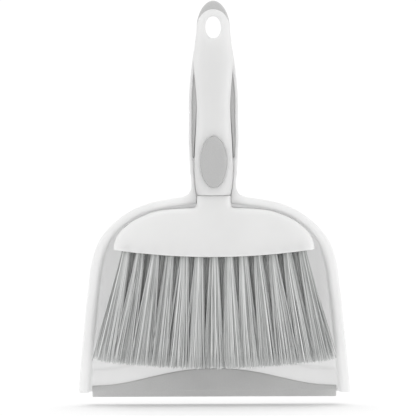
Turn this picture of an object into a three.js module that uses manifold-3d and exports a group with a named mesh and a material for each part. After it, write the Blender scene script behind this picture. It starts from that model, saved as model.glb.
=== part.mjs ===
// Dust pan and hand brush set: a small tray with a hollow channel handle, and a hand
// brush that snaps into it. Millimetres, +Z up. The set is drawn as it hangs: the
// handles point up, the tray opens towards -Y and its flat underside faces +Y.
// Shapes are laid out with z = 0 at the free edge of the rubber lip, x = 0 on the
// centre line and y = 0 near the middle of the brush handle. At the end everything is
// moved so that the origin is the middle of the pan's hanging hole.

import * as THREE from 'three';
import { mergeVertices } from 'three/addons/utils/BufferGeometryUtils.js';
import Module from 'manifold-3d';

// ---------------------------------------------------------------- driving dimensions
const GAP = 0.3;                 // clearance between neighbouring pieces

// tray
const WALL = 2.2;                // wall and floor thickness
const FLOOR_BACK = 37;           // y of the flat underside
const FLOOR_FRONT = FLOOR_BACK - WALL;
const RIM_Y_TOP = -6;            // y of the rim's front face at the rear wall, z = 168
const RIM_SLOPE = 25 / 163;      // the rim leans back towards the mouth
const RIM_FLAT = 5.2;            // flat front of the rim
const RIM_R = 3.6;               // the rim rolls over into the wall with this radius
const FLANGE_T = 2.4;            // its thickness
const DRAFT = 0.4;               // how far the walls lean in from rim to floor
const MOUTH_Z = 4.5;             // where walls and floor stop at the mouth
// rim outline, right half: [x, z] from below the mouth to the top centre
const RIM = [
  [112.7, -14], [112.2, -4], [111.5, 5.5], [110.6, 17], [109.5, 31], [108.2, 43], [106.9, 55.4],
  [106, 65], [105.1, 75], [103.9, 85.5], [102.6, 95.9], [101.6, 105], [100, 113.2], [98.3, 120], [95.9, 126.4],
  [92.9, 132.3], [89.2, 137.4], [84.7, 142.4], [79.6, 146.9], [74.1, 151.2], [68.3, 155], [62.9, 157.7], [57.5, 159.9],
  [51.3, 161.8], [44.9, 163.2], [33.8, 165.1], [22.7, 166.6], [11, 167.6],
];

// pan handle: [z, half width, rim y, back y]
const PAN_HANDLE = [
  [150, 26, -4, 24], [158, 26, -5.4, 24], [163.5, 25.4, -6, 24], [166.5, 22.6, -6, 24], [169, 20, -6, 23], [173, 18.3, -5.6, 21.6],
  [180, 18.3, -5, 20], [188, 19, -4.4, 19.2], [196, 19.6, -3.8, 19], [205, 20, -3, 19], [213, 20.3, -2.2, 19], [229, 20.1, -0.6, 19],
  [245, 20.1, 1.2, 18.8], [259, 19.2, 3.4, 18.2], [268, 18.3, 5, 17.6], [278, 17, 7, 16.8], [285, 16, 8.4, 16.4], [292, 15.1, 9.4, 16],
  [301, 13.9, 9.4, 16], [309, 13.3, 9.4, 16], [314, 12.1, 9.4, 16], [319, 10, 9.4, 15.9], [323, 7.1, 9.5, 15.6], [325.4, 4.3, 9.7, 15.2], [326.6, 1.4, 10.2, 14.6],
];
const CHANNEL_WALL = 2.2;        // channel side wall
const CORNER_X = 8.6, CORNER_Y = 7.6;  // rounding of the handle's back corners
const CHANNEL_TOP = 292;         // end of the channel, start of the solid end plate
const PLATE_Y = 12.5;            // front of the end plate, under the liner
const LINER_BOTTOM = 198;        // lower end of the liner
const LINER_DROP = 2.4;          // the liner's front face lies this far below the channel's rim
const CRADLE_GAP = 0.6;          // room round the brush handle, in the liner's groove

// brush handle: [z, half width, front y, back y]
const BRUSH_HANDLE = [
  [167.7, 13.9, -12.2, 10.2], [169, 14.3, -12.6, 10.6], [172, 14.8, -13, 10.9], [177, 15.3, -13.6, 11], [184, 15.8, -14.2, 11.1], [190, 15.9, -14.6, 11.2], [196, 15.7, -14.6, 11.2],
  [205, 15.3, -14.2, 11], [212, 15, -13.4, 11], [218, 14.6, -12.6, 11], [225, 14.2, -11.8, 11], [233, 13.85, -11.2, 11], [241, 13.7, -10.9, 11], [250, 14.1, -10.8, 11],
  [259, 14.8, -10.8, 10.8], [268, 15.6, -10.9, 10.4], [278, 16.3, -10.8, 9.6], [285, 15.75, -10.4, 8.8], [290, 15.1, -10, 7.9], [296, 14.4, -9.3, 7.2], [301, 13.9, -8.5, 7],
  [307, 13.2, -7.4, 6.8], [311, 12.2, -6.4, 6.5], [314.5, 10, -5.2, 6], [317, 7.4, -4, 5.2], [318.6, 4.6, -2.6, 4], [319.4, 1.8, -0.8, 2.4],
];
const HANDLE_Y = -1.5;           // y of the handle's widest line
const HANDLE_N = 2.5;            // squareness of the handle's section

// hanging hole, an upright oval through both handles
const HOLE_Z = 304.7, HOLE_RX = 6.4, HOLE_RZ = 9;
const HOLE_Y = 12.7;             // y of the origin, inside the pan's end

// thumb pad
const PAD_Z = 195, PAD_RX = 11, PAD_RZ = 21.2, PAD_FLOOR = -9.2, PAD_PROUD = 0.5;

// brush head, fan outline, right half: [x, z] from the lower centre to the neck
const HEAD = [
  [0, 117.6], [20, 117.9], [40, 118.9], [60, 120.6], [74, 122.3], [81.6, 123.6], [82.9, 125.2],
  [82.2, 128.4], [79.9, 132.8], [76.6, 136.6], [72.3, 140.2], [66.4, 144.4], [59.8, 147.8], [51.6, 151.4], [43, 154],
  [33, 155.4], [25, 156.3], [19, 157], [15.2, 157.2], [14.1, 157.8], [13.8, 159.2], [13.8, 167.4],
];
const HEAD_FRONT = -15, HEAD_BACK = 13.5;
const TONGUE_RX = 9.5, TONGUE_TOP = 183, TONGUE_Y0 = -6, TONGUE_Y1 = 6.5;

// tufts
const ROWS = [
  { name: 'front', count: 13, pitch: 11.9, y: -8.6 },
  { name: 'middle', count: 12, pitch: 11.9, y: -0.2 },
  { name: 'rear', count: 13, pitch: 11.9, y: 8.2 },
];
const TUFT_R = 3.1;              // radius in the hole
const TUFT_DEPTH = 12;           // depth of the blind hole
const SPREAD_X = 1.262;          // how the tufts fan out sideways from mouth to tip
const SPREAD_Y = 1.3;            // and front to back
const TIP_LEAN = 8;              // the bristles lean back towards the tray floor
const TIP_RX = 6.9, TIP_RY = 4.9;
const TIP_Z = 26.2, TIP_RISE = 6.2;

// rubber lip
const LIP_HALF = 100.7, LIP_EDGE_H = 9.6, LIP_MID_H = 23.6, LIP_T = 1.9;

// ---------------------------------------------------------------- helpers
const wasm = await Module();
wasm.setup();

const lerp = (a, b, t) => a + (b - a) * t;

// value of column k of a table sorted by its first column
function at(table, z, k) {
  if (z <= table[0][0]) return table[0][k];
  for (let i = 1; i < table.length; i++) {
    if (z <= table[i][0]) {
      const [p, q] = [table[i - 1], table[i]];
      return lerp(p[k], q[k], (z - p[0]) / (q[0] - p[0]));
    }
  }
  return table[table.length - 1][k];
}

// a closed skin through a stack of rings with the same number of points; each end is
// closed by a fan. A capped cylinder is reshaped, row by row.
function skin(rings) {
  const n = rings[0].length, m = rings.length - 1;
  const g = new THREE.CylinderGeometry(1, 1, 1, n, m, false);
  const p = g.attributes.position;
  const mean = (r) => [0, 1, 2].map((k) => r.reduce((s, v) => s + v[k], 0) / n);
  let i = 0;
  for (let j = 0; j <= m; j++) for (let k = 0; k <= n; k++) p.setXYZ(i++, ...rings[j][k % n]);
  for (const ring of [rings[0], rings[m]]) {
    const c = mean(ring);
    for (let k = 0; k < n; k++) p.setXYZ(i++, ...c);
    for (let k = 0; k <= n; k++) p.setXYZ(i++, ...ring[k % n]);
  }
  return g;
}

// a three.js geometry as a solid that can be joined and cut
function solid(geometry) {
  let g = geometry.clone();
  g.deleteAttribute('normal');
  g.deleteAttribute('uv');
  g = mergeVertices(g, 1e-4);
  const p = g.attributes.position.array, t = Array.from(g.index.array);
  const keep = [];
  let volume = 0;
  for (let i = 0; i < t.length; i += 3) {
    const [a, b, c] = [t[i], t[i + 1], t[i + 2]];
    if (a === b || b === c || a === c) continue;
    keep.push(a, b, c);
    const [ax, ay, az, bx, by, bz, cx, cy, cz] = [a, b, c].flatMap((v) => [p[3 * v], p[3 * v + 1], p[3 * v + 2]]);
    volume += ax * (by * cz - bz * cy) - ay * (bx * cz - bz * cx) + az * (bx * cy - by * cx);
  }
  if (volume < 0) for (let i = 0; i < keep.length; i += 3) [keep[i + 1], keep[i + 2]] = [keep[i + 2], keep[i + 1]];
  return new wasm.Manifold(new wasm.Mesh({ numProp: 3, vertProperties: new Float32Array(p), triVerts: new Uint32Array(keep) }));
}

function toGeometry(manifold) {
  const mesh = manifold.getMesh();
  const g = new THREE.BufferGeometry();
  g.setAttribute('position', new THREE.BufferAttribute(new Float32Array(mesh.vertProperties), 3));
  g.setIndex(new THREE.BufferAttribute(new Uint32Array(mesh.triVerts), 1));
  g.computeVertexNormals();
  return g;
}

// a plate of the XZ outline pts between y0 and y1, with optional bevels inside that span
function plate(pts, y0, y1, bevel = 0, segments = 2) {
  const shape = new THREE.Shape(pts.map(([x, z]) => new THREE.Vector2(x, z)));
  const g = new THREE.ExtrudeGeometry(shape, {
    depth: y1 - y0 - 2 * bevel, steps: 1, curveSegments: 24,
    bevelEnabled: bevel > 0, bevelThickness: bevel, bevelSize: bevel, bevelOffset: -bevel, bevelSegments: segments,
  });
  // extrusion depth (+Z) becomes -Y
  g.rotateX(Math.PI / 2);
  g.translate(0, y1 - bevel, 0);
  return solid(g);
}

// a prism of the YZ outline pts between x0 and x1
function sidePrism(pts, x0, x1) {
  const shape = new THREE.Shape(pts.map(([y, z]) => new THREE.Vector2(y, z)));
  const g = new THREE.ExtrudeGeometry(shape, { depth: x1 - x0, steps: 1, bevelEnabled: false });
  g.applyMatrix4(new THREE.Matrix4().makeBasis(new THREE.Vector3(0, 1, 0), new THREE.Vector3(0, 0, 1), new THREE.Vector3(1, 0, 0)));
  g.translate(x0, 0, 0);
  return solid(g);
}

function box(x0, x1, y0, y1, z0, z1) {
  const g = new THREE.BoxGeometry(x1 - x0, y1 - y0, z1 - z0);
  g.translate((x0 + x1) / 2, (y0 + y1) / 2, (z0 + z1) / 2);
  return solid(g);
}

const oval = (rx, rz, z, n) => Array.from({ length: n }, (_, i) => {
  const a = (2 * Math.PI * i) / n;
  return [rx * Math.cos(a), z + rz * Math.sin(a)];
});

// closed outline from a right half, mirrored about x = 0
const mirrored = (half) => [...half, ...half.filter(([x]) => x > 0.01).map(([x, z]) => [-x, z]).reverse()];

// an outline moved inwards by d along its own normals
function inset(pts, d) {
  const n = pts.length;
  return pts.map((p, i) => {
    const a = pts[(i + n - 1) % n], b = pts[(i + 1) % n];
    const t = [b[0] - a[0], b[1] - a[1]], l = Math.hypot(...t);
    return [p[0] - (t[1] / l) * d, p[1] + (t[0] / l) * d];
  });
}

// ---------------------------------------------------------------- tray
const rimY = (z) => RIM_Y_TOP + (168 - z) * RIM_SLOPE;
// counter-clockwise seen from the front, starting at the lower right
const rimOutline = mirrored(RIM);
// the two lowest corners are held on one level, so that every inset of the outline
// still runs straight out through the mouth
const trayRing = (d, y) => inset(rimOutline, d).map(([x, z], i) => {
  const low = i === 0 || i === rimOutline.length - 1;
  const zz = low ? -14 : z;
  const xx = low ? Math.sign(rimOutline[i][0]) * (Math.abs(rimOutline[i][0]) - d) : x;
  return [xx, y(zz), zz];
});

const WALL_IN = RIM_FLAT + RIM_R;        // inset of the wall's inner face from the rim's edge
const WALL_OUT = WALL_IN - WALL;
const trayOuter = solid(skin([
  trayRing(0, (z) => rimY(z)),
  trayRing(0, (z) => rimY(z) + FLANGE_T),
  trayRing(WALL_OUT, (z) => rimY(z) + FLANGE_T),
  trayRing(WALL_OUT + DRAFT, () => FLOOR_BACK - 3),
  trayRing(WALL_OUT + DRAFT + 0.9, () => FLOOR_BACK - 0.9),
  trayRing(WALL_OUT + DRAFT + 2.8, () => FLOOR_BACK),
]));
const trayInner = solid(skin([
  trayRing(RIM_FLAT - 0.2, (z) => rimY(z) - 6),
  trayRing(RIM_FLAT, (z) => rimY(z)),
  trayRing(RIM_FLAT + RIM_R * 0.5, (z) => rimY(z) + RIM_R * 0.134),
  trayRing(RIM_FLAT + RIM_R * 0.866, (z) => rimY(z) + RIM_R * 0.5),
  trayRing(WALL_IN, (z) => rimY(z) + RIM_R),
  trayRing(WALL_IN + DRAFT, () => FLOOR_FRONT - 2.6),
  trayRing(WALL_IN + DRAFT + 0.5, () => FLOOR_FRONT),
]));

// ---------------------------------------------------------------- pan handle
// a ring at height z: straight sides from the rim, then rounded corners at the back
function channelRing(z, half, front, back, rx, ry, n = 6) {
  const cx = Math.min(rx, 0.92 * half), cy = Math.min(ry, 0.85 * (back - front));
  const side = [[half, front, z]];
  for (let i = 0; i <= n; i++) {
    const a = (Math.PI * i) / (2 * n);
    side.push([half - cx + cx * Math.cos(a), back - cy + cy * Math.sin(a), z]);
  }
  return [...side, ...side.map(([x, y]) => [-x, y, z]).reverse()];
}

const handleOuter = solid(skin(PAN_HANDLE.map(([z, w, f, b]) => channelRing(z, w, f, b, CORNER_X, CORNER_Y))));
// close round the brush's neck at the bottom, then one wall thickness inside the handle
const NECK_ROOM = [[168, 14.3], [172, 15.2], [177, 15.75], [184, 16.3], [188, 16.8]];
const innerHalf = (z) => (z < 188 ? at(NECK_ROOM, z, 1) : at(PAN_HANDLE, z, 1) - CHANNEL_WALL);
const innerBack = (z) => at(PAN_HANDLE, z, 3) - (z < 169 ? 6 : z < 180 ? lerp(6, WALL, (z - 169) / 11) : WALL);
const channelStations = [146, 158, 168, 172, 177, 184, 188, 196, 205, 213, 229, 245, 259, 268, 278, 285, CHANNEL_TOP];
const channelCut = (stations, gap) => solid(skin(stations.map((z) => channelRing(z, innerHalf(z) - gap, -30, innerBack(z) - gap, CORNER_X - CHANNEL_WALL, CORNER_Y - WALL))));
const channel = channelCut(channelStations, 0);
const endCut = plate([[-30, CHANNEL_TOP - 0.1], [30, CHANNEL_TOP - 0.1], [30, 340], [-30, 340]], -30, PLATE_Y);
const hole = plate(oval(HOLE_RX, HOLE_RZ, HOLE_Z, 28), -40, 40);

// snap nubs on the channel walls, in front of the brush handle's widest line
const nub = (side) => {
  const inner = 16.2;
  const pts = [[inner, 185.4], [inner, 194.6], [inner + 0.6, 196], [innerHalf(196) + 0.6, 196], [innerHalf(184) + 0.8, 184], [inner + 0.6, 184]];
  return plate(pts.map(([x, z]) => [side * x, z]), -3.2, 4.5);
};

let pan = trayOuter.add(handleOuter).subtract(trayInner).subtract(channel).subtract(endCut).subtract(hole);
pan = pan.add(nub(1)).add(nub(-1));
pan = pan.subtract(box(-200, 200, -60, 60, -60, MOUTH_Z));

// ---------------------------------------------------------------- brush handle
function handleRing(z, half, front, back, grow = 0, n = 28) {
  const pts = [];
  for (let i = 0; i < n; i++) {
    const a = (2 * Math.PI * i) / n;
    const c = Math.cos(a), s = Math.sin(a), e = 2 / HANDLE_N;
    const x = (half + grow) * Math.sign(c) * Math.abs(c) ** e;
    const reach = s < 0 ? front - grow - HANDLE_Y : back + grow - HANDLE_Y;
    pts.push([x, HANDLE_Y + Math.abs(reach) * Math.sign(s) * Math.abs(s) ** e, z]);
  }
  return pts;
}
const handleBody = (grow) => solid(skin(BRUSH_HANDLE.map(([z, w, f, b]) => handleRing(z, w, f, b, grow))));
const socket = plate([[-TONGUE_RX - GAP, 160], [TONGUE_RX + GAP, 160], [TONGUE_RX + GAP, TONGUE_TOP + GAP], [-TONGUE_RX - GAP, TONGUE_TOP + GAP]], TONGUE_Y0 - GAP, TONGUE_Y1 + GAP);
const padHole = plate(oval(PAD_RX + GAP, PAD_RZ + GAP, PAD_Z, 32), -40, PAD_FLOOR);
// countersunk front edge of the hanging hole
const holeSink = solid(skin([
  oval(HOLE_RX + 4.2, HOLE_RZ + 4.2, HOLE_Z, 28).map(([x, z]) => [x, -11.4, z]),
  oval(HOLE_RX, HOLE_RZ, HOLE_Z, 28).map(([x, z]) => [x, -4.6, z]),
]));
const brushHandle = handleBody(0).subtract(socket).subtract(padHole).subtract(hole).subtract(holeSink);

const thumbPad = plate(oval(PAD_RX, PAD_RZ, PAD_Z, 32), -40, PAD_FLOOR - GAP).intersect(handleBody(PAD_PROUD));

// ---------------------------------------------------------------- handle liner
// a soft filler in the channel, with a groove in which the brush handle lies
const linerFront = (z) => at(PAN_HANDLE, z, 2) + LINER_DROP;
const linerStations = [LINER_BOTTOM, 205, 213, 229, 245, 259, 268, 278, 285, CHANNEL_TOP - 0.4];
let liner = channelCut(linerStations, GAP);
const linerSide = [
  ...linerStations.map((z) => [linerFront(z), z]), [9.4, CHANNEL_TOP + 6], [9.4, 340], [60, 340], [60, 150], [linerFront(LINER_BOTTOM), 150],
];
const linerKeep = sidePrism(linerSide, -40, 40);
liner = liner.intersect(linerKeep).subtract(handleBody(CRADLE_GAP));
// end pad over the whole rounded end, down onto the lining in the channel
const endOutline = mirrored([[0, 289.5], [9, 289.5], [9, 292.2], ...PAN_HANDLE.filter(([z]) => z >= 292).map(([z, w]) => [w, z + 0.2])]);
const endPad = plate(endOutline, 9.4, PLATE_Y - GAP, 0.6, 1);
const linerTrim = box(-40, 40, 0, 9.4, 286, 340);
liner = liner.subtract(linerTrim).add(endPad).subtract(hole);

// ---------------------------------------------------------------- brush head
const headOutline = mirrored(HEAD);
let head = plate(headOutline, HEAD_FRONT, HEAD_BACK, 2.4, 3);
// side profile: full thickness at the bristles, thinner towards the neck
const headSide = [
  [HEAD_FRONT, 110], [HEAD_BACK, 110], [HEAD_BACK, 130], [11.6, 146], [9.6, 158], [9, 170],
  [-9.6, 170], [-9.8, 162], [-11.2, 155], [-13.6, 146], [HEAD_FRONT, 138],
];
head = head.intersect(sidePrism(headSide, -100, 100));
// the tongue in the handle's socket; it starts inside the neck
head = head.subtract(box(-40, 40, -40, 40, 167.4, 200));
head = head.add(plate([[-TONGUE_RX, 160], [TONGUE_RX, 160], [TONGUE_RX, TONGUE_TOP - 1.5], [TONGUE_RX - 1.5, TONGUE_TOP], [-TONGUE_RX + 1.5, TONGUE_TOP], [-TONGUE_RX, TONGUE_TOP - 1.5]], TONGUE_Y0, TONGUE_Y1));

// ---------------------------------------------------------------- tufts
const headBottom = (x) => 117.6 + 6 * (x / 82) ** 2;
const tufts = [];
for (const row of ROWS) {
  for (let i = 0; i < row.count; i++) {
    const x = (i - (row.count - 1) / 2) * row.pitch, y = row.y;
    const mouth = headBottom(x);
    const tip = TIP_Z + TIP_RISE * (x / 72) ** 2;
    const tx = x * SPREAD_X, ty = y * SPREAD_Y + TIP_LEAN;
    // centre of the tuft at height z
    const centre = (z) => {
      const t = (mouth - z) / (mouth - tip);
      return [lerp(x, tx, t), lerp(y, ty, t)];
    };
    const ring = (z, rx, ry, n = 8) => {
      const [cx, cy] = centre(z);
      return Array.from({ length: n }, (_, k) => {
        const a = (2 * Math.PI * (k + 0.5)) / n;
        return [cx + rx * Math.cos(a), cy + ry * Math.sin(a), z];
      });
    };
    head = head.subtract(solid(skin([
      ring(mouth + TUFT_DEPTH, TUFT_R + GAP, TUFT_R + GAP), ring(mouth - 10, TUFT_R + GAP, TUFT_R + GAP)])));
    const z1 = mouth - 1.5;
    tufts.push({
      name: `tuft_${row.name}_${String(i + 1).padStart(2, '0')}`,
      geometry: toGeometry(solid(skin([
        ring(mouth + TUFT_DEPTH - GAP, TUFT_R, TUFT_R), ring(z1, TUFT_R, TUFT_R), ring(lerp(z1, tip, 0.5), lerp(TUFT_R, TIP_RX, 0.55), lerp(TUFT_R, TIP_RY, 0.55)), ring(tip, TIP_RX, TIP_RY)]))),
    });
  }
}

// ---------------------------------------------------------------- rubber lip
// arched strip over the front of the tray floor, wrapped round its edge
const lipTop = (x) => {
  const u = Math.min(1, Math.abs(x) / (LIP_HALF - 3));
  return LIP_EDGE_H + (LIP_MID_H - LIP_EDGE_H) * (0.5 + 0.5 * Math.cos(Math.PI * u ** 1.12));
};
const lipOutline = [[-LIP_HALF, 0], [LIP_HALF, 0]];
for (let i = 0; i <= 28; i++) {
  const x = LIP_HALF * (1 - i / 14);
  lipOutline.push([x, lipTop(x)]);
}
let lip = plate(lipOutline, FLOOR_FRONT - GAP - LIP_T, FLOOR_FRONT - GAP);
lip = lip.add(plate([[-LIP_HALF, 0], [LIP_HALF, 0], [LIP_HALF, MOUTH_Z - GAP], [-LIP_HALF, MOUTH_Z - GAP]], FLOOR_FRONT - GAP - LIP_T, FLOOR_BACK));
// the free edge is thinned from the inside
lip = lip.subtract(sidePrism([[FLOOR_FRONT - LIP_T - 5, -1], [FLOOR_BACK - 1.2, -1], [FLOOR_FRONT - GAP - LIP_T, 5.5], [FLOOR_FRONT - LIP_T - 5, 5.5]], -200, 200));

// ---------------------------------------------------------------- assembly
const WHITE = { color: 0xe9e9e7, roughness: 0.45, metalness: 0 };
const GREY_RUBBER = { color: 0xa9a9a6, roughness: 0.7, metalness: 0 };
const FILAMENT = { color: 0xa6a8a7, roughness: 0.5, metalness: 0 };

const group = new THREE.Group();
const frame = new THREE.Group();
frame.position.set(0, -HOLE_Y, -HOLE_Z);
group.add(frame);

const dustpan = new THREE.Group();
const brush = new THREE.Group();
frame.add(dustpan, brush);

function piece(parent, name, shape, look) {
  const mesh = new THREE.Mesh(shape.isBufferGeometry ? shape : toGeometry(shape), new THREE.MeshStandardMaterial(look));
  mesh.name = name;
  parent.add(mesh);
}

piece(dustpan, 'pan_shell', pan, WHITE);
piece(dustpan, 'pan_lip', lip, GREY_RUBBER);
piece(dustpan, 'pan_handle_liner', liner, GREY_RUBBER);
piece(brush, 'brush_handle', brushHandle, WHITE);
piece(brush, 'brush_thumb_pad', thumbPad, GREY_RUBBER);
piece(brush, 'brush_head', head, WHITE);
for (const t of tufts) piece(brush, t.name, t.geometry, FILAMENT);

export default group;
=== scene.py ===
import math

import bpy
import numpy as np
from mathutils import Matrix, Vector


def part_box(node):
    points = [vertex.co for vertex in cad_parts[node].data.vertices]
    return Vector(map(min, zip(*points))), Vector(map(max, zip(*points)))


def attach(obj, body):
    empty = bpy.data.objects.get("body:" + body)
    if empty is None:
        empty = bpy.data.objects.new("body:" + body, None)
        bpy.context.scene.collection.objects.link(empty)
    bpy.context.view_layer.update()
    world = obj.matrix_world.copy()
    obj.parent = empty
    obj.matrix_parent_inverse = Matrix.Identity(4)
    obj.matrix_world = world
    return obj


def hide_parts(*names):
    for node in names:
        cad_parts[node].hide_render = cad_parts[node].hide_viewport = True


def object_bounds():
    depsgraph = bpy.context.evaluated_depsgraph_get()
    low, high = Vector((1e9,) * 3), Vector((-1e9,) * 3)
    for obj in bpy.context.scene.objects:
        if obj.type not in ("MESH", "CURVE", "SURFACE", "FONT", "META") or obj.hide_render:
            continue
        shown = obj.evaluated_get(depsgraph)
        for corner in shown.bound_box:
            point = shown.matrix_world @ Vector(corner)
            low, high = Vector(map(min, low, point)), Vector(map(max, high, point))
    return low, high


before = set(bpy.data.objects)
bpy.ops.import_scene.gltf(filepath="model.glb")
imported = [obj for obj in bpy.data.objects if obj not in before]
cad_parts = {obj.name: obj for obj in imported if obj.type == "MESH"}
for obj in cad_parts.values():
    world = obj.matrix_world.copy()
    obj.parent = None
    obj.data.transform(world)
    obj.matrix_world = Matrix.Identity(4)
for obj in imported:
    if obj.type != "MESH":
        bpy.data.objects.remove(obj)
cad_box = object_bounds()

# ------------------------------------------------------------------ where things are
# Shapes are laid out in millimetres with z = 0 at the lip's free edge, x = 0 on the
# centre line and y = 37 at the tray's flat underside; these two numbers carry them to
# the row frame.
SHELL_LO, SHELL_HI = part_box("pan_shell")
ALL_LO, ALL_HI = Vector(cad_box[0]), Vector(cad_box[1])
FLOOR_BACK = 37.0
Y_SHIFT = SHELL_HI.y * 1000 - FLOOR_BACK
Z_SHIFT = ALL_LO.z * 1000

WALL = 2.2
FLOOR_FRONT = FLOOR_BACK - WALL
RIM_FLAT, RIM_R, FLANGE_T, DRAFT = 5.2, 3.6, 2.4, 0.4
WALL_IN = RIM_FLAT + RIM_R
WALL_OUT = WALL_IN - WALL
SHOULDER = 2.0
MOUTH_Z = 4.5
HOLE_Z, HOLE_RX, HOLE_RZ = 304.7, 6.4, 9.0
CHANNEL_TOP, PLATE_Y = 292.0, 12.5
LINER_BOTTOM, LINER_DROP, CRADLE_GAP = 198.0, 2.4, 0.6
PAD_Z, PAD_RX, PAD_RZ, PAD_FLOOR, PAD_PROUD = 195.0, 11.0, 21.2, -9.2, 0.5
HANDLE_Y = -1.5
LIP_HALF, LIP_EDGE_H, LIP_MID_H, LIP_T = 100.7, 9.6, 23.6, 1.9

RIM = [
    [112.7, -14], [112.2, -4], [111.5, 5.5], [110.6, 17], [109.5, 31], [108.2, 43], [106.9, 55.4],
    [106, 65], [105.1, 75], [103.9, 85.5], [102.6, 95.9], [101.6, 105], [100, 113.2], [98.3, 120], [95.9, 126.4],
    [92.9, 132.3], [89.2, 137.4], [84.7, 142.4], [79.6, 146.9], [74.1, 151.2], [68.3, 155], [62.9, 157.7], [57.5, 159.9],
    [51.3, 161.8], [44.9, 163.2], [33.8, 165.1], [22.7, 166.6], [11, 167.6],
]
# z, half width, rim y, back y
PAN_HANDLE = np.array([
    [150, 26, -4, 24], [158, 26, -5.4, 24], [163.5, 25.4, -6, 24], [166.5, 22.6, -6, 24], [169, 20, -6, 23], [173, 18.3, -5.6, 21.6],
    [180, 18.3, -5, 20], [188, 19, -4.4, 19.2], [196, 19.6, -3.8, 19], [205, 20, -3, 19], [213, 20.3, -2.2, 19], [229, 20.1, -0.6, 19],
    [245, 20.1, 1.2, 18.8], [259, 19.2, 3.4, 18.2], [268, 18.3, 5, 17.6], [278, 17, 7, 16.8], [285, 16, 8.4, 16.4], [292, 15.1, 9.4, 16],
    [301, 13.9, 9.4, 16], [309, 13.3, 9.4, 16], [314, 12.1, 9.4, 16], [319, 10, 9.4, 15.9], [323, 7.1, 9.5, 15.6], [325.4, 4.3, 9.7, 15.2], [326.6, 1.4, 10.2, 14.6],
])
# z, half width, front y, back y
BRUSH_HANDLE = np.array([
    [158, 13.5, -11.6, 9.6], [163, 13.6, -11.8, 9.9],
    [167.7, 13.9, -12.2, 10.2], [169, 14.3, -12.6, 10.6], [172, 14.8, -13, 10.9], [177, 15.3, -13.6, 11], [184, 15.8, -14.2, 11.1], [190, 15.9, -14.6, 11.2], [196, 15.7, -14.6, 11.2],
    [205, 15.3, -14.2, 11], [212, 15, -13.4, 11], [218, 14.6, -12.6, 11], [225, 14.2, -11.8, 11], [233, 13.85, -11.2, 11], [241, 13.7, -10.9, 11], [250, 14.1, -10.8, 11],
    [259, 14.8, -10.8, 10.8], [268, 15.6, -10.9, 10.4], [278, 16.3, -10.8, 9.6], [285, 15.75, -10.4, 8.8], [290, 15.1, -10, 7.9], [296, 14.4, -9.3, 7.2], [301, 13.9, -8.5, 7],
    [307, 13.2, -7.4, 6.8], [311, 12.2, -6.4, 6.5], [314.5, 10, -5.2, 6], [317, 7.4, -4, 5.2], [318.6, 4.6, -2.6, 4], [319.4, 1.8, -0.8, 2.4],
])
# fan outline of the brush head, right half; below z = 124 it's cut by the lower face
HEAD = [
    [40, 104], [70, 104], [80.6, 108], [82, 116], [82.1, 121], [81.8, 126],
    [81.4, 128.4], [79.7, 133.4], [76.6, 138.0], [72.4, 142.0], [66.4, 146.6], [59.8, 150.0], [51.6, 153.4], [43, 155.5],
    [33, 156.5], [25, 157.0], [19, 157.3], [15.4, 157.5], [14.0, 158.6], [13.8, 162], [13.8, 168], [13.8, 176],
]
HEAD_FRONT, HEAD_BACK = -15.0, 13.5

ROWS = [("front", 13, 11.9, -8.6), ("middle", 12, 11.9, -0.2), ("rear", 13, 11.9, 8.2)]
TUFT_R, SPREAD_X, SPREAD_Y, TIP_LEAN = 3.1, 1.262, 1.3, 8.0
TIP_RX, TIP_RY, TIP_Z, TIP_RISE = 6.9, 4.9, 26.2, 6.2

STEP = 1.15


# ------------------------------------------------------------------ fields
def rmax(a, b, r):
    """intersection of two fields with the edge rounded to radius r"""
    u, v = a + r, b + r
    return np.minimum(np.maximum(u, v), 0) + np.sqrt(np.maximum(u, 0) ** 2 + np.maximum(v, 0) ** 2) - r


def rmin(a, b, r):
    """union of two fields with a fillet of radius r"""
    return -rmax(-a, -b, r)


def gauss(values, sigma, closed):
    n = int(3 * sigma) + 1
    k = np.exp(-0.5 * (np.arange(-n, n + 1) / sigma) ** 2)
    k /= k.sum()
    mode = "wrap" if closed else "reflect"
    return np.convolve(np.pad(values, n, mode=mode, **({} if closed else {"reflect_type": "odd"})), k, "valid")


def spline(points, step, closed):
    """Catmull-Rom line through the points, resampled evenly"""
    p = np.asarray(points, float)
    n = len(p)
    out = []
    last = n if closed else n - 1
    for i in range(last):
        if closed:
            a, b, c, d = p[(i - 1) % n], p[i], p[(i + 1) % n], p[(i + 2) % n]
        else:
            a, b, c, d = p[max(i - 1, 0)], p[i], p[i + 1], p[min(i + 2, n - 1)]
        t = np.linspace(0, 1, 12, endpoint=False)[:, None]
        out.append(0.5 * (2 * b + (c - a) * t + (2 * a - 5 * b + 4 * c - d) * t ** 2 + (3 * b - a - 3 * c + d) * t ** 3))
    q = np.vstack(out + ([] if closed else [p[-1:]]))
    if closed:
        q = np.vstack([q, q[:1]])
    s = np.concatenate([[0], np.cumsum(np.linalg.norm(np.diff(q, axis=0), axis=1))])
    m = max(8, int(round(s[-1] / step)))
    t = np.linspace(0, s[-1], m, endpoint=False) if closed else np.linspace(0, s[-1], m + 1)
    return np.stack([np.interp(t, s, q[:, k]) for k in range(q.shape[1])], 1)


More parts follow.
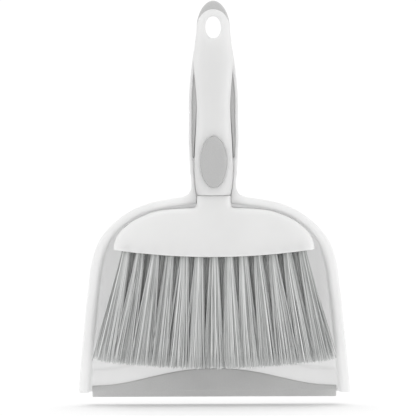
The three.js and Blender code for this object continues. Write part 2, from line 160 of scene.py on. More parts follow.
class Outline:
    """signed distance to a closed outline that is the same left and right: positive inside"""

    def __init__(self, half, smooth=3.0, margin=12.0, grid=0.5):
        half = [list(p) for p in half]
        full = half + [[-x, z] for x, z in reversed(half) if x > 0.01]
        line = spline(full, 1.0, True)
        line = np.stack([gauss(line[:, 0], smooth, True), gauss(line[:, 1], smooth, True)], 1)
        self.line = line
        self.h = grid
        self.x0 = -4 * grid
        self.z0 = line[:, 1].min() - margin
        nx = int((line[:, 0].max() + margin - self.x0) / grid) + 2
        nz = int((line[:, 1].max() + margin - self.z0) / grid) + 2
        x = np.abs(self.x0 + grid * np.arange(nx)).astype(np.float32)
        z = (self.z0 + grid * np.arange(nz)).astype(np.float32)
        a = line.astype(np.float32)
        b = np.roll(a, -1, 0)
        near = (a[:, 0] > -25) | (b[:, 0] > -25)
        an, bn = a[near], b[near]
        dx, dz = (bn - an).T
        ll = dx * dx + dz * dz + 1e-12
        self.v = np.empty((nx, nz), np.float32)
        for i in range(nx):
            px, pz = x[i] - an[:, 0], z[:, None] - an[None, :, 1]
            t = np.clip((px * dx + pz * dz) / ll, 0, 1)
            d = np.sqrt(((px - t * dx) ** 2 + (pz - t * dz) ** 2).min(1))
            up = (a[:, 0] > x[i]) != (b[:, 0] > x[i])
            zc = a[up, 1] + (x[i] - a[up, 0]) / (b[up, 0] - a[up, 0]) * (b[up, 1] - a[up, 1])
            inside = ((zc[None, :] > z[:, None]).sum(1) % 2) == 1
            self.v[i] = np.where(inside, d, -d)

    def __call__(self, x, z):
        """smooth bicubic reading at |x|, z"""
        x, z = np.broadcast_arrays(np.abs(x), z)
        u, w = (x - self.x0) / self.h, (z - self.z0) / self.h
        nx, nz = self.v.shape
        i = np.clip(np.floor(u).astype(int), 1, nx - 3)
        j = np.clip(np.floor(w).astype(int), 1, nz - 3)
        fu, fw = np.clip(u - i, 0, 1), np.clip(w - j, 0, 1)
        extra = np.hypot(np.maximum(u - (nx - 2), 0), np.maximum(w - (nz - 2), 0) + np.maximum(1 - w, 0)) * self.h

        def weights(t):
            t2, t3 = t * t, t * t * t
            return (-0.5 * t + t2 - 0.5 * t3, 1 - 2.5 * t2 + 1.5 * t3, 0.5 * t + 2 * t2 - 1.5 * t3, -0.5 * t2 + 0.5 * t3)

        wu, ww = weights(fu), weights(fw)
        out = 0
        for p in range(4):
            row = 0
            for q in range(4):
                row = row + ww[q] * self.v[i + p - 1, j + q - 1]
            out = out + wu[p] * row
        return out - extra


class Table:
    """smooth value along z"""

    def __init__(self, z, values, smooth=3.0):
        self.z = np.arange(z[0], z[-1] + 0.5, 0.5)
        self.v = gauss(np.interp(self.z, z, values), smooth / 0.5, False)

    def __call__(self, z):
        return np.interp(z, self.z, self.v)


def half_outline(table, bottom=None):
    pts = [[w, z] for z, w in table[:, :2]]
    return ([[0, table[0, 0] if bottom is None else bottom]] if bottom is not None else []) + pts


# ------------------------------------------------------------------ surface from a field
def surface(f, lo, hi, h, relax=5, newton=3):
    """quad surface where f = 0, on a grid of step h, then moved onto the exact surface"""
    h = np.array([h, h, h], float) if np.isscalar(h) else np.array(h, float)
    lo, hi = np.array(lo, float) - 2.2 * h, np.array(hi, float) + 2.2 * h
    n = np.ceil((hi - lo) / h).astype(int) + 1
    xs, ys, zs = [lo[k] + h[k] * np.arange(n[k]) for k in range(3)]
    v = np.asarray(f(xs[:, None, None], ys[None, :, None], zs[None, None, :]), np.float32)
    v = np.array(np.broadcast_to(v, n))
    v[v == 0] = 1e-6
    cells = n - 1
    total = int(np.prod(cells))
    strides = np.array([cells[1] * cells[2], cells[2], 1])
    sums, count = np.zeros((3, total)), np.zeros(total)
    crossings = []
    for a in range(3):
        s0 = [slice(None)] * 3
        s1 = [slice(None)] * 3
        s0[a], s1[a] = slice(0, -1), slice(1, None)
        v0, v1 = v[tuple(s0)], v[tuple(s1)]
        idx = np.argwhere((v0 < 0) != (v1 < 0))
        va, vb = v0[tuple(idx.T)], v1[tuple(idx.T)]
        t = va / (va - vb)
        pos = lo + idx * h
        pos[:, a] += t * h[a]
        b, c = (a + 1) % 3, (a + 2) % 3
        ring = []
        for db, dc in ((-1, -1), (0, -1), (0, 0), (-1, 0)):
            cell = idx.copy()
            cell[:, b] += db
            cell[:, c] += dc
            ring.append(cell @ strides)
            for k in range(3):
                sums[k] += np.bincount(ring[-1], weights=pos[:, k], minlength=total)
            count += np.bincount(ring[-1], minlength=total)
        quad = np.stack(ring, 1)
        flip = va > 0
        quad[flip] = quad[flip][:, ::-1]
        crossings.append(quad)
    used = np.nonzero(count)[0]
    index = np.full(total, -1)
    index[used] = np.arange(len(used))
    verts = (sums[:, used] / count[used]).T
    quads = index[np.vstack(crossings)]
    eps = 0.03

    def gradient(p):
        x, y, z = p.T
        g = np.stack([
            f(x + eps, y, z) - f(x - eps, y, z),
            f(x, y + eps, z) - f(x, y - eps, z),
            f(x, y, z + eps) - f(x, y, z - eps)], 1) / (2 * eps)
        return g

    def pull(p, g=None):
        g = gradient(p) if g is None else g
        gg = np.maximum((g * g).sum(1), 0.05)
        step = (f(*p.T) / gg)[:, None] * g
        size = np.linalg.norm(step, axis=1)
        step *= np.minimum(1, 0.8 * h.min() / np.maximum(size, 1e-9))[:, None]
        return p - step

    edges = np.vstack([quads[:, [k, (k + 1) % 4]] for k in range(4)])
    edges = np.unique(np.sort(edges, 1), axis=0)
    deg = np.bincount(edges.ravel(), minlength=len(verts))
    verts = pull(verts)
    for _ in range(relax):
        mean = np.stack([
            np.bincount(edges[:, 0], weights=verts[edges[:, 1], k], minlength=len(verts))
            + np.bincount(edges[:, 1], weights=verts[edges[:, 0], k], minlength=len(verts)) for k in range(3)], 1)
        move = mean / np.maximum(deg, 1)[:, None] - verts
        g = gradient(verts)
        nrm = g / np.maximum(np.linalg.norm(g, axis=1), 1e-6)[:, None]
        move -= (move * nrm).sum(1)[:, None] * nrm
        verts = pull(verts + 0.4 * move)
    for _ in range(newton):
        verts = pull(verts)
    return verts, quads


def to_row(p):
    """layout millimetres to row-frame metres"""
    return (np.asarray(p, float) + [0, Y_SHIFT, Z_SHIFT]) / 1000


def new_mesh(name, verts_mm, faces, material, smooth=True):
    mesh = bpy.data.meshes.new(name)
    mesh.from_pydata(to_row(verts_mm).tolist(), [], faces.tolist() if hasattr(faces, "tolist") else faces)
    mesh.polygons.foreach_set("use_smooth", [smooth] * len(mesh.polygons))
    mesh.update()
    ob = bpy.data.objects.new(name, mesh)
    bpy.context.scene.collection.objects.link(ob)
    mesh.materials.append(material)
    return ob


def moulding(name, f, lo, hi, h, material, body, replaces, relax=5):
    verts, quads = surface(f, lo, hi, h, relax)
    ob = new_mesh(name, verts, quads, material)
    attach(ob, body)
    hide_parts(*replaces)
    return ob


# ------------------------------------------------------------------ materials
def nodes_of(name):
    m = bpy.data.materials.new(name)
    m.use_nodes = True
    nt = m.node_tree
    nt.nodes.clear()
    out = nt.nodes.new("ShaderNodeOutputMaterial")
    bsdf = nt.nodes.new("ShaderNodeBsdfPrincipled")
    nt.links.new(bsdf.outputs[0], out.inputs[0])
    return m, nt, bsdf


def coords(nt, scale):
    geo = nt.nodes.new("ShaderNodeTexCoord")
    mp = nt.nodes.new("ShaderNodeMapping")
    mp.inputs["Scale"].default_value = scale
    nt.links.new(geo.outputs["Object"], mp.inputs[0])
    return mp.outputs[0]


def noise(nt, vec, scale, detail=2.0, rough=0.5):
    n = nt.nodes.new("ShaderNodeTexNoise")
    n.inputs["Scale"].default_value = scale
    n.inputs["Detail"].default_value = detail
    n.inputs["Roughness"].default_value = rough
    nt.links.new(vec, n.inputs["Vector"])
    return n.outputs["Fac"]


def ramp(nt, fac, stops):
    r = nt.nodes.new("ShaderNodeValToRGB")
    els = r.color_ramp.elements
    while len(els) < len(stops):
        els.new(0.5)
    for e, (pos, col) in zip(els, stops):
        e.position = pos
        e.color = (*col, 1) if len(col) == 3 else col
    nt.links.new(fac, r.inputs[0])
    return r.outputs[0]


def remap(nt, fac, lo, hi, a=0.0, b=1.0):
    m = nt.nodes.new("ShaderNodeMapRange")
    m.inputs["From Min"].default_value = a
    m.inputs["From Max"].default_value = b
    m.inputs["To Min"].default_value = lo
    m.inputs["To Max"].default_value = hi
    nt.links.new(fac, m.inputs["Value"])
    return m.outputs[0]


def bump(nt, bsdf, height, strength, distance):
    b = nt.nodes.new("ShaderNodeBump")
    b.inputs["Strength"].default_value = strength
    b.inputs["Distance"].default_value = distance
    nt.links.new(height, b.inputs["Height"])
    nt.links.new(b.outputs[0], bsdf.inputs["Normal"])


def mix_height(nt, a, b, fb):
    m = nt.nodes.new("ShaderNodeMath")
    m.operation = "MULTIPLY_ADD"
    nt.links.new(b, m.inputs[0])
    m.inputs[1].default_value = fb
    nt.links.new(a, m.inputs[2])
    return m.outputs[0]


def pointiness(nt):
    g = nt.nodes.new("ShaderNodeNewGeometry")
    return g.outputs["Pointiness"]


def mix_colour(nt, fac, a, b, mode="MIX"):
    m = nt.nodes.new("ShaderNodeMix")
    m.data_type = "RGBA"
    m.blend_type = mode
    if hasattr(fac, "links") or hasattr(fac, "is_linked"):
        nt.links.new(fac, m.inputs[0])
    else:
        m.inputs[0].default_value = fac
    for sock, val in ((m.inputs[6], a), (m.inputs[7], b)):
        if isinstance(val, tuple):
            sock.default_value = (*val, 1)
        else:
            nt.links.new(val, sock)
    return m.outputs[2]


def white_plastic(name, base, seed, depth):
    """moulded polypropylene: soft satin skin with faint flow mottling, fine spark texture, and a painted highlight
    that makes convex edges paler
    """
    m, nt, bsdf = nodes_of(name)
    v = coords(nt, (1, 1, 1))
    flow = noise(nt, v, 16 + seed, 3, 0.55)
    fine = noise(nt, v, 900, 2, 0.6)
    lo = tuple(c * 0.965 for c in base)
    hi = tuple(min(1, c * 1.02) for c in base)
    body = ramp(nt, flow, [(0.3, lo), (0.7, hi)])
    # painted highlight: convex edges (high pointiness) are painted up to 7% paler than the body colour
    edge = remap(nt, pointiness(nt), 0, 1, 0.52, 0.6)
    col = mix_colour(nt, edge, body, tuple(min(1, c * 1.07) for c in base))
    nt.links.new(col, bsdf.inputs["Base Color"])
    nt.links.new(remap(nt, flow, 0.36, 0.46), bsdf.inputs["Roughness"])
    bsdf.inputs["IOR"].default_value = 1.49
    bsdf.inputs["Specular IOR Level"].default_value = 0.45
    bsdf.inputs["Subsurface Weight"].default_value = 0.95
    bsdf.inputs["Subsurface Scale"].default_value = depth
    bsdf.inputs["Subsurface Radius"].default_value = (1.0, 1.0, 1.0)
    height = mix_height(nt, noise(nt, v, 120, 2, 0.5), fine, 0.35)
    bump(nt, bsdf, height, 0.10, 0.0003)
    return m


def grey_rubber(name, base, seed):
    """thermoplastic rubber: matt, fine sand-blasted grain, dusty sheen, and a painted highlight that makes convex
    edges paler
    """
    m, nt, bsdf = nodes_of(name)
    v = coords(nt, (1, 1, 1))
    cloud = noise(nt, v, 22 + seed, 3, 0.6)
    grain = noise(nt, v, 1300, 2, 0.7)
    body = ramp(nt, cloud, [(0.3, tuple(c * 0.95 for c in base)), (0.7, tuple(c * 1.04 for c in base))])
    speck = ramp(nt, grain, [(0.35, (0.9, 0.9, 0.9)), (0.65, (1, 1, 1))])
    col = mix_colour(nt, 1.0, body, speck, "MULTIPLY")
    # painted highlight: convex edges (high pointiness) are painted paler than the body colour
    edge = remap(nt, pointiness(nt), 0, 0.6, 0.52, 0.62)
    col = mix_colour(nt, edge, col, tuple(min(1, c * 1.25) for c in base))
    nt.links.new(col, bsdf.inputs["Base Color"])
    nt.links.new(remap(nt, grain, 0.6, 0.78), bsdf.inputs["Roughness"])
    bsdf.inputs["Specular IOR Level"].default_value = 0.35
    bsdf.inputs["Sheen Weight"].default_value = 0.12
    bsdf.inputs["Sheen Roughness"].default_value = 0.5
    bump(nt, bsdf, grain, 0.25, 0.00025)
    return m


def filament(name, dark, mid, light):
    """drawn polyester filaments, each with a shade of its own"""
    m, nt, bsdf = nodes_of(name)
    at = nt.nodes.new("ShaderNodeAttribute")
    at.attribute_name = "shade"
    along = nt.nodes.new("ShaderNodeAttribute")
    along.attribute_name = "along"
    v = coords(nt, (1, 1, 0.12))
    streak = noise(nt, v, 700, 2, 0.5)
    shade = nt.nodes.new("ShaderNodeMath")
    shade.operation = "MULTIPLY_ADD"
    nt.links.new(streak, shade.inputs[0])
    shade.inputs[1].default_value = 0.25
    nt.links.new(at.outputs["Fac"], shade.inputs[2])
    col = ramp(nt, remap(nt, shade.outputs[0], 0, 1, 0.0, 1.25), [(0.0, dark), (0.5, mid), (1.0, light)])
    # painted shade: each filament is darkened at its root next to the head, and its colour rises paler toward the tip
    depth = ramp(nt, along.outputs["Fac"], [(0.0, (0.92, 0.92, 0.92)), (0.25, (1, 1, 1)), (0.7, (1.04, 1.04, 1.04)), (1.0, (1.14, 1.14, 1.14))])
    col = mix_colour(nt, 1.0, col, depth, "MULTIPLY")
    nt.links.new(col, bsdf.inputs["Base Color"])
    nt.links.new(remap(nt, streak, 0.36, 0.52), bsdf.inputs["Roughness"])
    bsdf.inputs["Specular IOR Level"].default_value = 0.5
    bump(nt, bsdf, streak, 0.15, 0.0001)
    return m


WHITE = (0.84, 0.84, 0.835)
MAT_PAN = white_plastic("pan_polypropylene", WHITE, 0, 0.014)
MAT_HANDLE = white_plastic("handle_polypropylene", (0.795, 0.795, 0.791), 3, 0.014)
MAT_HEAD = white_plastic("head_polypropylene", WHITE, 5, 0.008)
MAT_LIP = grey_rubber("lip_rubber", (0.635, 0.635, 0.631), 0)
MAT_LINER = grey_rubber("liner_rubber", (0.62, 0.62, 0.617), 2)
MAT_PAD = grey_rubber("pad_rubber", (0.49, 0.49, 0.487), 4)
MAT_BRISTLE = filament("bristle_filament", (0.17, 0.176, 0.174), (0.53, 0.541, 0.535), (0.94, 0.95, 0.94))

# ------------------------------------------------------------------ outlines and profiles
S_TRAY = Outline(RIM, smooth=3.0)
S_PAN_HANDLE = Outline([[0, 140], [26, 140]] + [[w, z] for z, w in PAN_HANDLE[:, :2]], smooth=1.8)
S_BRUSH = Outline([[0, 150], [13.4, 150]] + [[w, z] for z, w in BRUSH_HANDLE[:, :2]], smooth=1.8)
S_HEAD = Outline([[0, 104]] + HEAD + [[0, 176]], smooth=1.4)

PH_W = Table(PAN_HANDLE[:, 0], PAN_HANDLE[:, 1], 1.5)
PH_RIM = Table(PAN_HANDLE[:, 0], PAN_HANDLE[:, 2], 4)
PH_BACK = Table(PAN_HANDLE[:, 0], PAN_HANDLE[:, 3], 3)
inner_z = np.array([140, 158, 169, 173, 180, 188, 196, 205, 213, 229, 245, 259, 268, 278, 285, 292, 300.0])
inner_y = np.interp(inner_z, PAN_HANDLE[:, 0], PAN_HANDLE[:, 3]) - np.interp(inner_z, [140, 169, 180, 300], [6, 6, 2.2, 2.2])
PH_INNER = Table(inner_z, inner_y, 3)
BH_W = Table(BRUSH_HANDLE[:, 0], BRUSH_HANDLE[:, 1], 1.5)
BH_FRONT = Table(BRUSH_HANDLE[:, 0], BRUSH_HANDLE[:, 2], 2.5)
BH_BACK = Table(BRUSH_HANDLE[:, 0], BRUSH_HANDLE[:, 3], 2.5)


def rim_y(z):
    return -6 + (168 - z) * 25 / 163


def oval_field(x, z, rx, rz, cz):
    """negative inside the upright oval"""
    a = np.sqrt((x / rx) ** 2 + ((z - cz) / rz) ** 2)
    b = np.sqrt((x / rx ** 2) ** 2 + ((z - cz) / rz ** 2) ** 2)
    return a * (a - 1) / np.maximum(b, 1e-6)


def lip_top(x):
    u = np.minimum(1, np.abs(x) / (LIP_HALF - 3))
    return LIP_EDGE_H + (LIP_MID_H - LIP_EDGE_H) * (0.5 + 0.5 * np.cos(np.pi * u ** 1.12))


def floor_front(x, z):
    """inner face of the tray floor: flat, with a low ramp that rises from the lip and breaks off along an arc"""
    crest = lip_top(x) + 12.5
    t = z - crest
    rise = np.where(t < 0, np.clip(1 + t / 26, 0.25, 1), 0.5 + 0.5 * np.cos(np.pi * np.clip(t / 3.2, 0, 1)))
    return FLOOR_FRONT - 1.1 * rise


NECK_ROOM = Table(np.array([140, 168, 172, 177, 184, 188, 190]), np.array([14.2, 14.2, 15.2, 15.75, 16.3, 16.8, 17]), 1.2)


def channel_field(x, y, z, gap=0.0):
    """negative inside the hollow of the pan's handle"""
    w = PH_W(z)
    t = np.clip((z - 184) / 5, 0, 1)
    narrow, wide = np.abs(x) - NECK_ROOM(z) + gap, -(S_PAN_HANDLE(x, z) - WALL - gap)
    side = narrow * (1 - t) + wide * t
    back = y - (PH_INNER(z) - gap)
    return rmax(side, back, np.clip(0.4 * w, 2.0, 5.6))


def pan_field(x, y, z):
    s = S_TRAY(x, z)
    ry = rim_y(z)
    frac = np.clip((y - ry) / (FLOOR_BACK - ry), 0, 1)
    # the rim is narrower round the shoulders
    t = np.clip((z - 116) / 24, 0, 1)
    s = s + SHOULDER * t * t * (3 - 2 * t)
    # outside: flange and box
    body = rmax(WALL_OUT + DRAFT * frac - s, y - FLOOR_BACK, 4.0)
    outside = rmin(body, rmax(-S_TRAY(x, z), y - ry - FLANGE_T, 1.0), 1.2)
    # inside: rim plane rolling over into the wall, wall running into the floor
    wall = rmax(ry - y, s - WALL_IN - DRAFT * frac, RIM_R)
    inside = rmin(wall, floor_front(x, z) - y, 2.6)
    # handle
    sh = S_PAN_HANDLE(x, z)
    w, rim, back = PH_W(z), PH_RIM(z), PH_BACK(z)
    outer = rmax(-sh, y - back, np.clip(0.5 * w, 1.5, 8.0))
    outer = rmax(outer, rim - y, 0.9)
    f = rmax(rmin(outside, outer, 3.0), inside, 0.9)
    channel = rmax(rmax(channel_field(x, y, z), z - CHANNEL_TOP, 1.5), 150 - z, 1)
    f = rmax(f, -channel, 0.6)
    # step down to the end plate, which the liner covers
    f = rmax(f, -np.maximum(CHANNEL_TOP + 0.1 - z, y - PLATE_Y), 0.4)
    # snap nubs
    ax = np.abs(x)
    nx, ny, nz = np.abs(ax - 17.6) - 1.4, np.abs(y - 0.65) - 3.85, np.abs(z - 190) - 6.0
    nub = rmax(rmax(nx, nz, 1.2), ny, 0.8)
    f = rmin(f, nub, 0.5)
    f = rmax(f, -oval_field(x, z, HOLE_RX, HOLE_RZ, HOLE_Z), 0.9)
    return rmax(f, MOUTH_Z - z, 0.7)


def brush_handle_body(x, y, z, grow=0.0):
    a = S_BRUSH(x, z) + grow
    front, back = BH_FRONT(z) - grow, BH_BACK(z) + grow
    reach = np.where(y < HANDLE_Y, HANDLE_Y - front, back - HANDLE_Y)
    u = np.maximum(1 - a / 10.5, 0)
    v = np.abs(y - HANDLE_Y) / np.maximum(reach, 0.8)
    p = 2.35
    q = (u ** p + v ** p + 1e-9) ** (1 / p) - 1
    return q * 9.0


def liner_field(x, y, z):
    low = rmax(channel_field(x, y, z, 0.3), PH_RIM(z) + LINER_DROP - y, 0.6)
    low = rmax(low, -brush_handle_body(x, y, z, CRADLE_GAP), 0.5)
    low = rmax(rmax(low, LINER_BOTTOM - z, 1.2), z - CHANNEL_TOP + 0.4, 0.4)
    plate = rmax(-S_PAN_HANDLE(x, z), np.abs(y - 10.8) - 1.4, 0.9)
    start = np.where(np.abs(x) < 9, 289.5, 292.2)
    plate = rmax(plate, start - z, 0.3)
    f = rmin(low, plate, 0.4)
    return rmax(f, -oval_field(x, z, HOLE_RX, HOLE_RZ, HOLE_Z), 0.9)


def brush_handle_field(x, y, z):
    f = brush_handle_body(x, y, z)
    f = rmax(f, 167.75 - z, 0.7)
    pad = oval_field(x, z, PAD_RX - 0.3, PAD_RZ - 0.3, PAD_Z)
    f = rmax(f, -np.maximum(pad, y - PAD_FLOOR), 0.4)
    hole = oval_field(x, z, HOLE_RX, HOLE_RZ, HOLE_Z)
    return rmax(f, -hole, 3.0)


def pad_field(x, y, z):
    f = brush_handle_body(x, y, z, PAD_PROUD)
    f = rmax(f, oval_field(x, z, PAD_RX + 0.2, PAD_RZ + 0.2, PAD_Z), 2.0)
    return rmax(f, y - (PAD_FLOOR - 0.3), 0.4)


def head_bottom(x):
    return 117.6 + 6 * (np.abs(x) / 82) ** 2


HEAD_F = Table(np.array([96, 126, 138, 146, 152, 158, 164, 172, 180.0]), np.array([-15, -15, -14.6, -13.4, -12.0, -10.6, -10.0, -9.8, -9.8]), 2.5)
HEAD_B = Table(np.array([96, 130, 146, 158, 172, 180.0]), np.array([13.5, 13.5, 11.6, 9.6, 9, 9]), 3)

TUFTS = []
for row, count, pitch, ry_ in ROWS:
    for k in range(count):
        x = (k - (count - 1) / 2) * pitch
        TUFTS.append((f"tuft_{row}_{k + 1:02d}", row, x, ry_))


def head_field(x, y, z):
    s = S_HEAD(x, z)
    crown = 0.9 * (np.abs(x) / 82) ** 2.4
    f = rmax(-s, HEAD_F(z) + crown - y, 4.2)
    f = rmax(f, y - HEAD_B(z), 2.5)
    f = rmax(f, head_bottom(x) - z, 0.7)
    f = rmax(f, z - 167.4, 0.5)
    tongue = rmax(rmax(np.abs(x) - 9.5, z - 183, 1.5), np.abs(y - 0.25) - 6.25, 0.5)
    tongue = np.maximum(tongue, 160 - z)
    f = np.minimum(f, tongue)
    # blind holes for the tufts
    for _, _, tx, ty in TUFTS:
        t = (head_bottom(tx) - z) / 91.0
        cx, cy = tx * (1 + (SPREAD_X - 1) * t), ty + (ty * (SPREAD_Y - 1) + TIP_LEAN) * t
        hole = np.sqrt((x - cx) ** 2 + (y - cy) ** 2) - 3.35
        hole = np.maximum(hole, z - head_bottom(tx) - 4.5)
        f = rmax(f, -hole, 0.4)
    return f


def lip_field(x, y, z):
    out = rmax(np.abs(x) - LIP_HALF, z - lip_top(x), 0.8)
    front, back = FLOOR_FRONT - 0.3 - LIP_T, FLOOR_FRONT + 0.1
    strip = rmax(out, np.abs(y - (front + back) / 2) - (back - front) / 2, 0.8)
    edge = rmax(np.maximum(np.abs(x) - LIP_HALF, z - (MOUTH_Z - 0.3)), np.abs(y - (front + FLOOR_BACK) / 2) - (FLOOR_BACK - front) / 2, 0.4)
    f = np.minimum(strip, edge)
    # the free edge is thinned from the inside
    slope = (z * (FLOOR_BACK - 1.2 - front) / 5.5 + (y - (FLOOR_BACK - 1.2))) * -0.83
    f = rmax(f, slope, 0.4)
    return rmax(f, -z, 0.35)


# ------------------------------------------------------------------ mouldings
h = STEP
pan = moulding("pan_moulding", pan_field, (-112.5, -7, MOUTH_Z - 1), (112.5, 38, 328), (h, h * 0.86, h), MAT_PAN, "dustpan", ["pan_shell"])
liner = moulding("liner_moulding", liner_field, (-18.6, -3, 196), (18.6, 19, 328), h * 0.7, MAT_LINER, "dustpan", ["pan_handle_liner"])
lip = moulding("lip_moulding", lip_field, (-101.5, 31, -1), (101.5, 38, 25), h * 0.62, MAT_LIP, "dustpan", ["pan_lip"])
handle = moulding("handle_moulding", brush_handle_field, (-17, -16, 166), (17, 12, 320), h * 0.7, MAT_HANDLE, "brush", ["brush_handle"])
pad = moulding("thumb_pad_moulding", pad_field, (-12, -16, 173), (12, -8, 217), h * 0.5, MAT_PAD, "brush", ["brush_thumb_pad"])
head = moulding("head_moulding", head_field, (-84, -16, 115), (84, 14, 184), h * 0.85, MAT_HEAD, "brush", ["brush_head"])


# ------------------------------------------------------------------ bristles
FILAMENTS = {"front": 122, "middle": 104, "rear": 90}


def tuft(name, row, x0, y0, seed):
    """one bundle of straight filaments: packed in its hole, fanned out at the tips"""
    rng = np.random.default_rng(seed)
    mouth = float(head_bottom(x0))
    count = FILAMENTS[row] // 1
    sides, rings = 5, 7
    # place in the bundle: over the hole and then over the oval of the tips
    r = np.sqrt((np.arange(count) + 0.5) / count) * 0.98
    a = np.arange(count) * 2.39996 + rng.random() * 6.28
    ux, uy = r * np.cos(a), r * np.sin(a)
    tx, ty = ux + rng.normal(0, 0.14, count), uy + rng.normal(0, 0.12, count)
    # a few strays reach over into the neighbouring tufts
    stray = rng.random(count) < 0.07
    tx = np.where(stray, tx * 1.35, tx)
    root = np.stack([x0 + ux * TUFT_R, y0 + uy * TUFT_R, np.full(count, mouth + 3.5)], 1)
    cx, cy = x0 * SPREAD_X, y0 * SPREAD_Y + TIP_LEAN
    ex = cx + tx * (TIP_RX + 1.5)
    tip_z = TIP_Z + TIP_RISE * (ex / 90.0) ** 2
    cut = rng.normal(0, 0.7, count) + np.where(rng.random(count) < 0.12, rng.random(count) * 4.0, 0)
    end = np.stack([ex, cy + ty * (TIP_RY + 0.4), tip_z + cut], 1)
    t = np.linspace(0, 1, rings)
    shaft = end - root
    flow = t ** 1.06
    line = root[:, None, :] + shaft[:, None, :] * t[None, :, None]
    for k in (0, 1):
        line[:, :, k] = root[:, k, None] + shaft[:, k, None] * flow[None, :]
    bow = rng.normal(0, 0.38, (count, 2))
    wave = rng.normal(0, 0.16, (count, 2))
    line[:, :, :2] += np.sin(np.pi * t)[None, :, None] * bow[:, None, :] + np.sin(2 * np.pi * t)[None, :, None] * wave[:, None, :]
    size = 0.39 * (0.8 + 0.5 * rng.random(count))
    radius = size[:, None] * (1 - 0.3 * t ** 2)[None, :]
    radius[:, -1] *= 0.6
    ang = (np.arange(sides) + 0.5) / sides * 2 * math.pi
    spin = rng.random(count) * math.pi
    cs, sn = np.cos(ang[None, :] + spin[:, None]), np.sin(ang[None, :] + spin[:, None])
    v = np.empty((count, rings, sides, 3))
    v[..., 0] = line[:, :, None, 0] + radius[:, :, None] * cs[:, None, :]
    v[..., 1] = line[:, :, None, 1] + radius[:, :, None] * sn[:, None, :]
    v[..., 2] = line[:, :, None, 2]
    v = v.reshape(-1, 3)
    base = np.arange(count) * rings * sides
    quads = []
    for j in range(rings - 1):
        for k in range(sides):
            k2 = (k + 1) % sides
            quads.append(np.stack([base + (j + 1) * sides + k, base + (j + 1) * sides + k2, base + j * sides + k2, base + j * sides + k], 1))
    faces = np.vstack(quads).tolist()
    faces += np.stack([base + (rings - 1) * sides + k for k in reversed(range(sides))], 1).tolist()
    faces += np.stack([base + k for k in range(sides)], 1).tolist()
    ob = new_mesh(name + "_filaments", v, faces, MAT_BRISTLE)
    me = ob.data
    # neighbours lie in light and dark strands
    strand = 0.5 + 0.5 * np.sin(ux * (5.5 + 2 * rng.random()) + uy * 3.1 + rng.random() * 6.28)
    shade = np.clip(0.72 * rng.beta(0.75, 0.65, count) + 0.28 * strand, 0, 1)
    at = me.attributes.new("shade", "FLOAT", "POINT")
    at.data.foreach_set("value", np.repeat(shade, rings * sides).astype(np.float32))
    al = me.attributes.new("along", "FLOAT", "POINT")
    al.data.foreach_set("value", np.tile(np.repeat(t, sides), count).astype(np.float32))
    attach(ob, "brush")
    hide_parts(name)
    return ob


for i, (name, row, tx, ty) in enumerate(TUFTS):
    tuft(name, row, tx, ty, 1000 + i)

# ------------------------------------------------------------------ stage
FLOOR_Z = ALL_LO.z - 0.0060
MID = (ALL_LO + ALL_HI) / 2


def stage_material():
    """pale paper sweep: it fades out into the white studio with distance"""
    m = bpy.data.materials.new("stage_paper")
    m.use_nodes = True
    nt = m.node_tree
    nt.nodes.clear()
    out = nt.nodes.new("ShaderNodeOutputMaterial")
    bsdf = nt.nodes.new("ShaderNodeBsdfPrincipled")
    clear = nt.nodes.new("ShaderNodeBsdfTransparent")
    mix = nt.nodes.new("ShaderNodeMixShader")
    v = coords(nt, (1, 1, 1))
    n = noise(nt, v, 30, 3, 0.5)
    nt.links.new(ramp(nt, n, [(0.3, (FLOOR_ALBEDO * 0.99,) * 3), (0.7, (FLOOR_ALBEDO,) * 3)]), bsdf.inputs["Base Color"])
    bsdf.inputs["Roughness"].default_value = 0.95
    bsdf.inputs["Specular IOR Level"].default_value = 0.0
    bsdf.inputs["Emission Color"].default_value = (1, 1, 1, 1)
    bsdf.inputs["Emission Strength"].default_value = FLOOR_GLOW
    far = nt.nodes.new("ShaderNodeVectorMath")
    far.operation = "LENGTH"
    nt.links.new(v, far.inputs[0])
    nt.links.new(remap(nt, far.outputs["Value"], 0, 1, 0.55, 1.3), mix.inputs[0])
    nt.links.new(bsdf.outputs[0], mix.inputs[1])
    nt.links.new(clear.outputs[0], mix.inputs[2])
    nt.links.new(mix.outputs[0], out.inputs[0])
    return m


def floor():
    n = 64
    t = np.linspace(0, 2 * math.pi, n, endpoint=False)
    rings = [0.1, 0.25, 0.5, 0.9, 1.4]
    verts, faces = [(0, 0, 0)], []
    for r in rings:
        verts += [(r * math.cos(a), r * math.sin(a), 0) for a in t]
    faces += [(0, 1 + k, 1 + (k + 1) % n) for k in range(n)]
    for j in range(len(rings) - 1):
        a, b = 1 + j * n, 1 + (j + 1) * n
        faces += [(a + k, b + k, b + (k + 1) % n, a + (k + 1) % n) for k in range(n)]
    me = bpy.data.meshes.new("stage_floor")
    me.from_pydata(verts, [], faces)
    me.update()
    ob = bpy.data.objects.new("stage_floor", me)
    ob.location = (0, MID.y, FLOOR_Z)
    bpy.context.scene.collection.objects.link(ob)
    me.materials.append(stage_material())
    return ob


FLOOR_ALBEDO, FLOOR_GLOW = 0.80, 0.185
FLOOR = floor()


def area(name, offset, size, size_y, power):
    """soft box aimed at the middle of the set"""
    l = bpy.data.lights.new(name, "AREA")
    l.shape = "RECTANGLE"
    l.size, l.size_y = size, size_y
    l.energy = power
    ob = bpy.data.objects.new(name, l)
    bpy.context.scene.collection.objects.link(ob)
    ob.location = MID + Vector(offset)
    ob.rotation_euler = (-Vector(offset)).to_track_quat("-Z", "Y").to_euler()
    paper(ob, "EXCLUDE")
    return ob


def paper(lamp, state):
    """keep a lamp off the paper, or on the paper alone"""
    c = bpy.data.collections.new(lamp.name + "_paper")
    c.objects.link(FLOOR)
    lamp.light_linking.receiver_collection = c
    c.collection_objects[0].light_linking.link_state = state


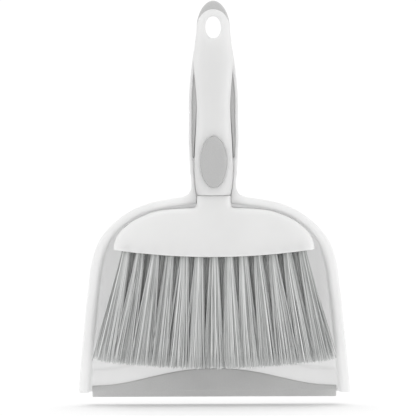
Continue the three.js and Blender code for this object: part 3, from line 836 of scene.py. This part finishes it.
def overhead(size, size_y, power):
    """broad soft box straight above that draws the shadow on the paper"""
    l = bpy.data.lights.new("overhead", "AREA")
    l.shape = "RECTANGLE"
    l.size, l.size_y = size, size_y
    l.energy = power
    ob = bpy.data.objects.new("overhead", l)
    bpy.context.scene.collection.objects.link(ob)
    ob.location = MID + Vector((0, 0, 1.5))
    paper(ob, "INCLUDE")


area("front", (0.0, -3.9, 1.0), 1.8, 1.4, 2.40)
area("left", (-1.35, -0.75, 0.75), 0.8, 1.1, 5)
area("right", (1.5, -0.5, 0.25), 0.9, 1.3, 7)
area("top", (-0.15, -0.05, 1.6), 1.3, 1.0, 5.5)
area("back", (0.0, 1.8, 0.5), 1.8, 1.4, 9)
overhead(2.2, 2.8, 26)

world = bpy.data.worlds.new("studio")
bpy.context.scene.world = world
world.use_nodes = True
wn = world.node_tree
wn.nodes.clear()
w_out = wn.nodes.new("ShaderNodeOutputWorld")
w_seen = wn.nodes.new("ShaderNodeBackground")
w_light = wn.nodes.new("ShaderNodeBackground")
w_mix = wn.nodes.new("ShaderNodeMixShader")
w_path = wn.nodes.new("ShaderNodeLightPath")
w_seen.inputs[0].default_value = (1, 1, 1, 1)
w_seen.inputs[1].default_value = 1.05
w_light.inputs[0].default_value = (1, 1, 1, 1)
w_light.inputs[1].default_value = 0.56
wn.links.new(w_path.outputs["Is Camera Ray"], w_mix.inputs[0])
wn.links.new(w_light.outputs[0], w_mix.inputs[1])
wn.links.new(w_seen.outputs[0], w_mix.inputs[2])
wn.links.new(w_mix.outputs[0], w_out.inputs[0])

scene = bpy.context.scene
scene.view_settings.view_transform = "Standard"
scene.view_settings.look = "None"
scene.view_settings.exposure = 0
scene.view_settings.gamma = 1.3

# ------------------------------------------------------------------ camera
# the picture frame is 416 x 416, at 0.82 mm of the object to the pixel
MM_PER_PX = 0.82
DIST = 4.2
ELEV = math.radians(2.0)
ROLL = math.radians(-0.2)
cam_data = bpy.data.cameras.new("camera")
cam = bpy.data.objects.new("camera", cam_data)
scene.collection.objects.link(cam)
scene.camera = cam
span = 416 * MM_PER_PX / 1000
cam_data.sensor_width = 36
cam_data.lens = 36 * DIST / span
cam_data.clip_end = 60
# picture centre: x = 213.8 px is the centre line, y = 399 px the lip's free edge
aim = Vector(((208 - 213.8) * MM_PER_PX / 1000, 0.0, ALL_LO.z + (399 - 208) * MM_PER_PX / 1000))
cam.location = aim + Vector((0, -DIST * math.cos(ELEV), DIST * math.sin(ELEV)))
cam.rotation_euler = (aim - cam.location).to_track_quat("-Z", "Y").to_euler()
cam.rotation_euler.rotate_axis("Z", ROLL)
